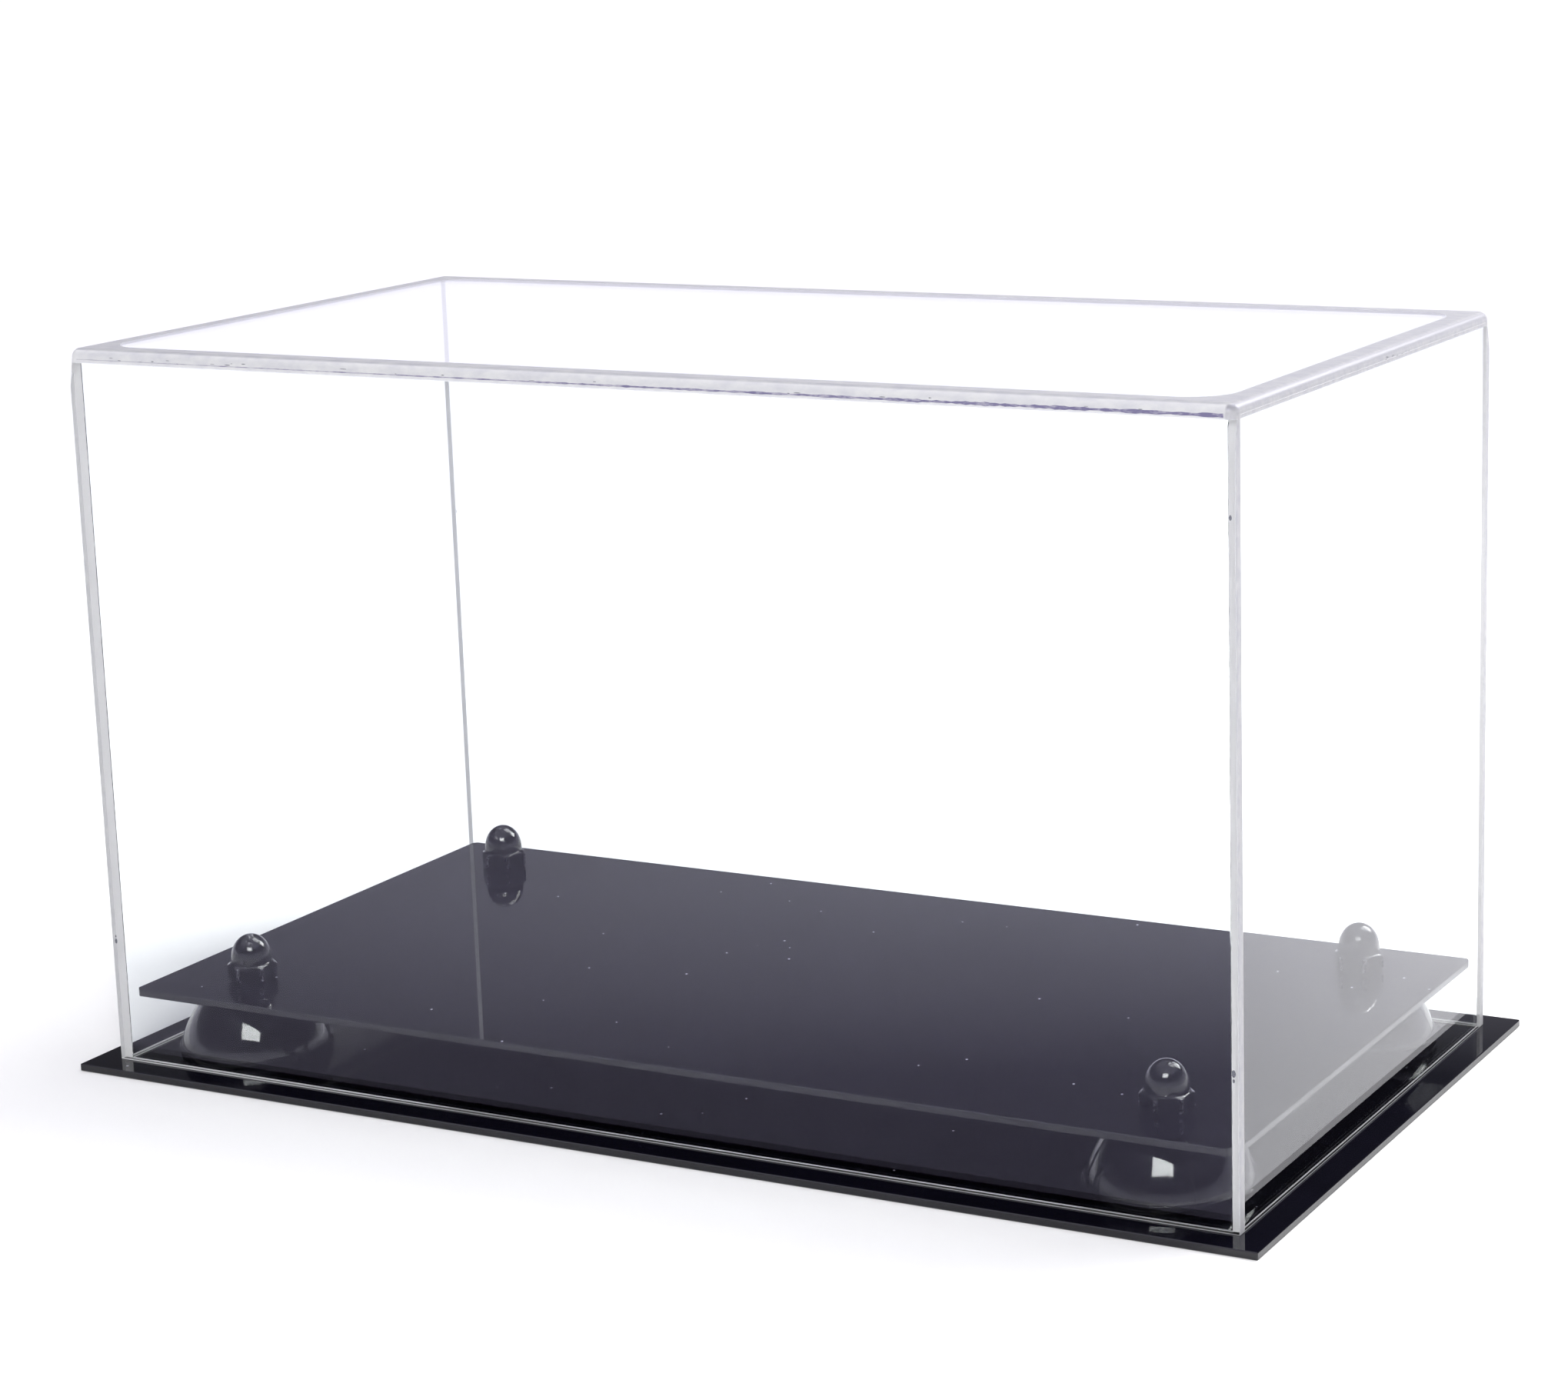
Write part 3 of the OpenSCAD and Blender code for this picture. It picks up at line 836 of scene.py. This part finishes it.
def foot_section(fittings, radius, height):
    """Half section of the foot, from the bore's mouth out to the rim and back up over the top.

    A bell: an upright rim with a small ledge, then a bowed side whose radius falls as the share of
    its height to the power 1.45, and a small arc at the top, hollow underneath round a boss.
    """
    top_r, bore, boss = fittings.foot_top / 2, fittings.bore / 2, fittings.boss / 2
    rim, ledge, wall = fittings.foot_rim, fittings.foot_ledge, fittings.foot_wall
    slope = math.atan2(height - rim, radius - top_r)
    lean = 90 - math.degrees(slope)
    inset = wall / math.sin(slope)
    roof = height - 3 * MM
    roof_r = max(top_r + 3 * MM / math.tan(slope) - inset, boss + MM)
    soft, lip = 0.4 * MM, 0.25 * MM
    head = 1.5 * MM
    climb = np.linspace(0, 1, 28)[1:]
    side_r = radius - ledge - (radius - ledge - top_r) * climb**1.45
    side_z = rim + 0.15 * MM + (height - soft - rim - 0.15 * MM) * climb
    return joined(
        [(bore, head), (bore + head - 0.1 * MM, 0.1 * MM)],
        arc((boss - lip, lip), lip, -90, 0, 4),
        arc((boss + soft, roof - soft), soft, 180, 90, 5),
        arc((roof_r - soft, roof - soft), soft, 90, lean, 4),
        [(radius - inset, rim)],
        arc((radius - wall + lip, lip), lip, 180, 270, 4),
        arc((radius - lip, lip), lip, -90, 0, 5),
        arc((radius - lip, rim - lip), lip, 0, 90, 5),
        arc((radius - ledge + 0.15 * MM, rim + 0.15 * MM), 0.15 * MM, 270, 180, 4),
        np.stack([side_r, side_z], axis=-1),
        arc((top_r - soft, height - soft), soft, 20, 90, 5),
        [(bore + lip, height)],
        arc((bore + lip, height - lip), lip, 90, 180, 4),
    )


def foot(corner, fittings):
    """One bell-shaped foot: its half section turned about the screw's axis."""
    low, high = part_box(f"foot_{corner}")
    x, y = node_centre(f"foot_{corner}")
    section = foot_section(fittings, (high.x - low.x) / 2, high.z - low.z)
    rings = turned_rings(section, fittings.around) + np.array([x, y, low.z])
    return ring_surface(f"riser_foot_{corner}", rings, closed=True, smooth_to=32)


def cap_nut(corner, fittings):
    """One cap nut. Each ring's radius is the smaller of a turned radius and, on the hexagon, of the
    hexagon's own, which cuts the turned chamfers into arcs. The dome is the superellipse
    r = a (1 - t^2.3)^(1/2), with t the share of the height over the hexagon.
    """
    low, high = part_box(f"nut_{corner}")
    x, y = node_centre(f"nut_{corner}")
    height, tall = high.z - low.z, fittings.nut_hex
    corner_r = fittings.nut_flats / 2 / math.cos(math.pi / 6)
    chamfer, bore, depth = 1.0 * MM, fittings.bore / 2, 10.5 * MM
    drop = chamfer * math.tan(math.radians(30))
    dome_r, soft = fittings.dome / 2, 0.2 * MM
    under = joined(
        [(0.2 * MM, depth), (bore, depth - 2 * MM), (bore, 0.5 * MM), (bore + 0.5 * MM, 0)],
    )
    rise = np.linspace(0, 1, 9)
    face_r = fittings.nut_flats / 2 - 0.35 * MM
    lower = np.stack([face_r + (corner_r - face_r) * rise, drop * 1.9 * rise], axis=-1)
    upper = np.stack([lower[::-1, 0], tall - lower[::-1, 1]], axis=-1)
    level = np.linspace(lower[-1, 1], upper[0, 1], 5)[1:-1]
    straight = np.stack([0 * level + corner_r, level], axis=-1)
    ledge = [(dome_r + 0.35 * MM, tall), (dome_r + 0.12 * MM, tall + 0.03 * MM)]
    t = np.sin(np.linspace(0, math.pi / 2, 30))[1:]
    dome_z = tall + soft + (height - tall - soft) * t
    dome = np.stack([dome_r * np.sqrt(1 - np.minimum(t**2.3, 1 - 1e-6)), dome_z], axis=-1)
    section = joined(under, lower, straight, upper, ledge, [(dome_r, tall + soft)], dome)
    first_hex, last_hex = len(under), len(under) + len(lower) + len(straight) + len(upper)
    rings = turned_rings(section, 2 * fittings.around)
    angle = np.linspace(0, 2 * math.pi, 2 * fittings.around, endpoint=False)
    hexagon = hexagon_radius(angle + math.pi / 6, fittings.nut_flats, 0.1 * MM)
    radius = np.hypot(rings[..., 0], rings[..., 1])
    on_hex = np.zeros(len(section), bool)
    on_hex[first_hex:last_hex] = True
    cut = np.where(on_hex[:, None], np.minimum(radius, hexagon), radius)
    rings[..., :2] *= (cut / radius)[..., None]
    turn = math.radians(NUT_TURNS[corner])
    spun = Matrix.Rotation(turn, 3, "Z")
    rings = rings @ np.array(spun).T + np.array([x, y, low.z])
    nut = ring_surface(f"domed_nut_{corner}", rings, smooth_to=24)
    rubbed = np.clip((cut - fittings.nut_flats / 2 - 0.55 * MM) / (0.5 * MM), 0, 1) * on_hex[:, None]
    point_values(nut, "rubbed", rubbed)
    return nut


def machine_screw(corner, fittings):
    """One countersunk screw: head flush below, a hexagon socket in it, and a rolled thread above.

    The thread cuts into the shank by depth times a triangle wave of (z / pitch - turn), faded in
    and out at its ends.
    """
    low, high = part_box(f"screw_{corner}")
    x, y = node_centre(f"screw_{corner}")
    head_r, length = (high.x - low.x) / 2, high.z - low.z
    land, shank = 0.4 * MM, fittings.bore / 2 - 0.15 * MM
    head = head_r - shank + land
    socket, depth, pitch = 2.5 * MM / math.cos(math.pi / 6), 2.4 * MM, fittings.thread_pitch
    thread_from, cut = 12 * MM, 0.6 * MM
    levels = np.arange(thread_from, length - 0.9 * MM, pitch / 10)
    section = joined(
        [(0.3 * MM, depth + 0.4 * MM), (socket, depth), (socket, 0.25 * MM), (socket + 0.25 * MM, 0)],
        arc((head_r - 0.15 * MM, 0.15 * MM), 0.15 * MM, -90, 0, 4),
        [(head_r, land), (shank + 0.3 * MM, head - 0.3 * MM), (shank, head + 0.3 * MM)],
        np.stack([0 * levels + shank, levels], axis=-1),
        [(shank - 0.9 * MM, length), (0.2 * MM, length)],
    )
    rings = turned_rings(section, 96)
    angle = np.linspace(0, 2 * math.pi, 96, endpoint=False)
    radius = np.hypot(rings[..., 0], rings[..., 1])
    hexagon = hexagon_radius(angle, 5 * MM, 0.0)
    in_socket = (np.arange(len(section)) < 4)[:, None]
    z = rings[..., 2]
    wave = np.abs((z / pitch - angle / (2 * math.pi)) % 1.0 * 2 - 1)
    fade = np.clip((z - thread_from) / (2 * pitch), 0, 1) * np.clip((length - z) / (0.5 * pitch), 0, 1)
    on_shank = np.abs(section[:, 0] - shank)[:, None] < 1e-9
    shaped = np.where(on_shank, radius - cut * wave * fade, radius)
    shaped = np.where(in_socket, np.minimum(radius, hexagon + (radius - socket).clip(0)), shaped)
    rings[..., :2] *= (shaped / radius)[..., None]
    rings = rings + np.array([x, y, low.z])
    return ring_surface(f"machine_screw_{corner}", rings, smooth_to=40)


# ---- operators ----


class CaseOperator:
    """What the case's operators share."""

    bl_options = {"REGISTER", "UNDO"}

    def settings(self, context):
        return context.scene.displaycase

    def fit_corners(self, build, fittings, material, slot, node):
        """Makes one piece at each corner of the base, to stand for the CAD node there."""
        for corner in CORNERS:
            finished(build(corner, fittings), material, "base", slot, f"{node}_{corner}")


class DISPLAYCASE_OT_black_sheets(CaseOperator, bpy.types.Operator):
    """Finish the base plate and the platform, whose CAD shapes are kept"""

    bl_idname = "displaycase.black_sheets"
    bl_label = "Base and Platform"

    def execute(self, context):
        material = black_cast_acrylic(self.settings(context).finish)
        for name in ("base_plate", "riser_platform"):
            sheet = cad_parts[name]
            sheet.data.materials.clear()
            sheet.data.materials.append(material)
        return {"FINISHED"}


class DISPLAYCASE_OT_feet(CaseOperator, bpy.types.Operator):
    """Make the four bell-shaped feet"""

    bl_idname = "displaycase.feet"
    bl_label = "Feet"

    def execute(self, context):
        settings = self.settings(context)
        material = moulded_black_abs(settings.finish)
        self.fit_corners(foot, settings.fittings, material, "moulded_black_plastic", "foot")
        return {"FINISHED"}


class DISPLAYCASE_OT_nuts(CaseOperator, bpy.types.Operator):
    """Make the four domed cap nuts"""

    bl_idname = "displaycase.nuts"
    bl_label = "Cap Nuts"

    def execute(self, context):
        settings = self.settings(context)
        material = black_enamelled_steel(settings.finish)
        self.fit_corners(cap_nut, settings.fittings, material, "black_enamelled_steel", "nut")
        return {"FINISHED"}


class DISPLAYCASE_OT_screws(CaseOperator, bpy.types.Operator):
    """Make the four countersunk screws"""

    bl_idname = "displaycase.screws"
    bl_label = "Screws"

    def execute(self, context):
        settings = self.settings(context)
        material = black_oxide_steel(settings.finish)
        self.fit_corners(machine_screw, settings.fittings, material, "blackened_steel", "screw")
        return {"FINISHED"}


class DISPLAYCASE_OT_cover(CaseOperator, bpy.types.Operator):
    """Make the clear cover, with the cement and bubbles in its joints"""

    bl_idname = "displaycase.cover"
    bl_label = "Cover"

    def execute(self, context):
        settings = self.settings(context)
        finish = settings.finish
        shell = cover_shell(settings.cover)
        finished(shell, clear_cast_acrylic(finish), "cover", "clear_acrylic", *COVER_SHEETS)
        joints = joined_piece("cement_joints", cement_joints())
        finished(joints, solvent_cement(finish), "cover", "clear_acrylic")
        voids = joined_piece("cement_bubbles", cement_voids())
        finished(voids, cement_void(finish), "cover", "clear_acrylic")
        return {"FINISHED"}


def pointed(origin, target):
    """Matrix of a lamp or camera at origin that looks at target."""
    aim = Vector(target) - Vector(origin)
    return Matrix.Translation(origin) @ aim.to_track_quat("-Z", "Y").to_matrix().to_4x4()


def round_table(azimuth, elevation, distance, about):
    """Point at a distance from about, on the azimuth from the front and the elevation."""
    level = distance * math.cos(elevation)
    away = Vector((level * math.sin(azimuth), -level * math.cos(azimuth), distance * math.sin(elevation)))
    return Vector(about) + away


def softbox(name, azimuth, elevation, distance, size, power, about=(0, 0, 0.1)):
    """A rectangular area lamp that faces a point, from a distance and two angles about it."""
    lamp = bpy.data.lights.new(name, "AREA")
    lamp.shape = "RECTANGLE"
    lamp.size, lamp.size_y = size
    lamp.energy = power
    holder = bpy.data.objects.new(name, lamp)
    holder.matrix_world = pointed(round_table(azimuth, elevation, distance, about), about)
    bpy.context.scene.collection.objects.link(holder)


def studio_walls(scene):
    """Room light by direction: bright low down and overhead, and dark from 18 to 40 degrees up.

    From 9 to 17 degrees up it is dim on the left and paler on the right. Each side is a ramp of
    (sine of the elevation, brightness) stops.
    """
    world = bpy.data.worlds.new("studio")
    scene.world = world
    world.use_nodes = True
    tree = world.node_tree
    tree.nodes.clear()
    direction = add_node(tree, "TexCoord", "Generated")
    across, _, up = add_node(tree, "SeparateXYZ", None, [direction])
    low, overhead = ((0.0, 1.1), (0.15, 1.1)), ((0.60, 0.04), (0.76, 1.1), (1.0, 1.25))
    dim = low + ((0.19, 0.22), (0.27, 0.18), (0.32, 0.04)) + overhead
    pale = low + ((0.19, 0.85), (0.27, 0.70), (0.32, 0.05)) + overhead
    sides = []
    for stops in (dim, pale):
        side = add_node(tree, "ValToRGB", "Color", {"Fac": up})
        elements = side.node.color_ramp.elements
        while len(elements) < len(stops):
            elements.new(0.5)
        for element, (position, level) in zip(elements, stops):
            element.position = position
            element.color = (level * 0.96, level * 0.94, level * 1.08, 1)
        sides.append(side)
    right = add_node(tree, "MapRange", "Result", [across, -0.6, -0.3])
    walls = add_node(tree, "Mix", MIXED,
                     {FACTOR: right, AT_0: sides[0], AT_1: sides[1]}, data_type="RGBA")
    background = add_node(tree, "Background", "Background", {"Color": walls, "Strength": 1.0})
    add_node(tree, "OutputWorld", None, {"Surface": background})


class DISPLAYCASE_OT_stage(CaseOperator, bpy.types.Operator):
    """Make the floor, the lights and the camera"""

    bl_idname = "displaycase.stage"
    bl_label = "Stage"

    def execute(self, context):
        stage = self.settings(context).stage
        scene = context.scene
        half = stage.floor_width / 2
        mesh = bpy.data.meshes.new("studio_floor")
        edge = half * np.array([[-1, -1, 0], [1, -1, 0], [1, 1, 0], [-1, 1, 0]])
        mesh.from_pydata(edge.tolist(), [], [(0, 1, 2, 3)])
        mesh.materials.append(studio_paper(stage))
        floor = bpy.data.objects.new("studio_floor", mesh)
        scene.collection.objects.link(floor)
        key_side, key_height, key_size = stage.azimuth - math.radians(8), math.radians(38), (0.85, 0.5)
        softbox("key_light", key_side, key_height, 1.7, key_size, stage.key_power)
        behind = math.radians(150)
        back_height, back_size, back_floor = math.radians(55), (0.55, 0.55), (0.28, 0.38, 0)
        softbox("back_light", behind, back_height, 0.95, back_size, stage.back_power, back_floor)
        sun = bpy.data.lights.new("even_light", "SUN")
        sun.energy, sun.angle = stage.even_light, math.radians(30)
        holder = bpy.data.objects.new("even_light", sun)
        centre = (0, 0, 0)
        holder.matrix_world = pointed(round_table(behind, math.radians(62), 3, centre), centre)
        scene.collection.objects.link(holder)
        studio_walls(scene)
        self.make_camera(scene, stage)
        scene.view_settings.view_transform = "Standard"
        return {"FINISHED"}

    def make_camera(self, scene, stage):
        data = bpy.data.cameras.new("camera")
        data.sensor_width = 36
        data.lens = stage.lens
        data.shift_x = stage.shift
        data.clip_start, data.clip_end = 0.05, 200
        camera = bpy.data.objects.new("camera", data)
        place = round_table(stage.azimuth, stage.elevation, stage.distance, stage.aim)
        camera.matrix_world = pointed(place, stage.aim) @ Matrix.Rotation(stage.roll, 4, "Z")
        scene.collection.objects.link(camera)
        scene.camera = camera


class DISPLAYCASE_PT_panel(bpy.types.Panel):
    """Buttons that make the case's pieces"""

    bl_idname = "DISPLAYCASE_PT_panel"
    bl_label = "Display Case"
    bl_space_type = "VIEW_3D"
    bl_region_type = "UI"
    bl_category = "Display Case"

    def draw(self, context):
        for operator in OPERATORS:
            self.layout.operator(operator.bl_idname)
        settings = context.scene.displaycase
        for group in (settings.cover, settings.fittings, settings.finish, settings.stage):
            box = self.layout.box()
            for name in group.__annotations__:
                box.prop(group, name)


GROUPS = (
    DISPLAYCASE_PG_cover, DISPLAYCASE_PG_fittings, DISPLAYCASE_PG_finish, DISPLAYCASE_PG_stage,
    DISPLAYCASE_PG_settings,
)
OPERATORS = (
    DISPLAYCASE_OT_stage, DISPLAYCASE_OT_black_sheets, DISPLAYCASE_OT_feet, DISPLAYCASE_OT_nuts,
    DISPLAYCASE_OT_screws, DISPLAYCASE_OT_cover,
)


def register():
    for cls in GROUPS + OPERATORS + (DISPLAYCASE_PT_panel,):
        bpy.utils.register_class(cls)
    bpy.types.Scene.displaycase = PointerProperty(type=DISPLAYCASE_PG_settings)


def unregister():
    del bpy.types.Scene.displaycase
    for cls in reversed(GROUPS + OPERATORS + (DISPLAYCASE_PT_panel,)):
        bpy.utils.unregister_class(cls)


def main():
    register()
    bpy.ops.displaycase.stage()
    bpy.ops.displaycase.black_sheets()
    bpy.ops.displaycase.feet()
    bpy.ops.displaycase.nuts()
    bpy.ops.displaycase.screws()
    bpy.ops.displaycase.cover()


if __name__ == "__main__":
    main()
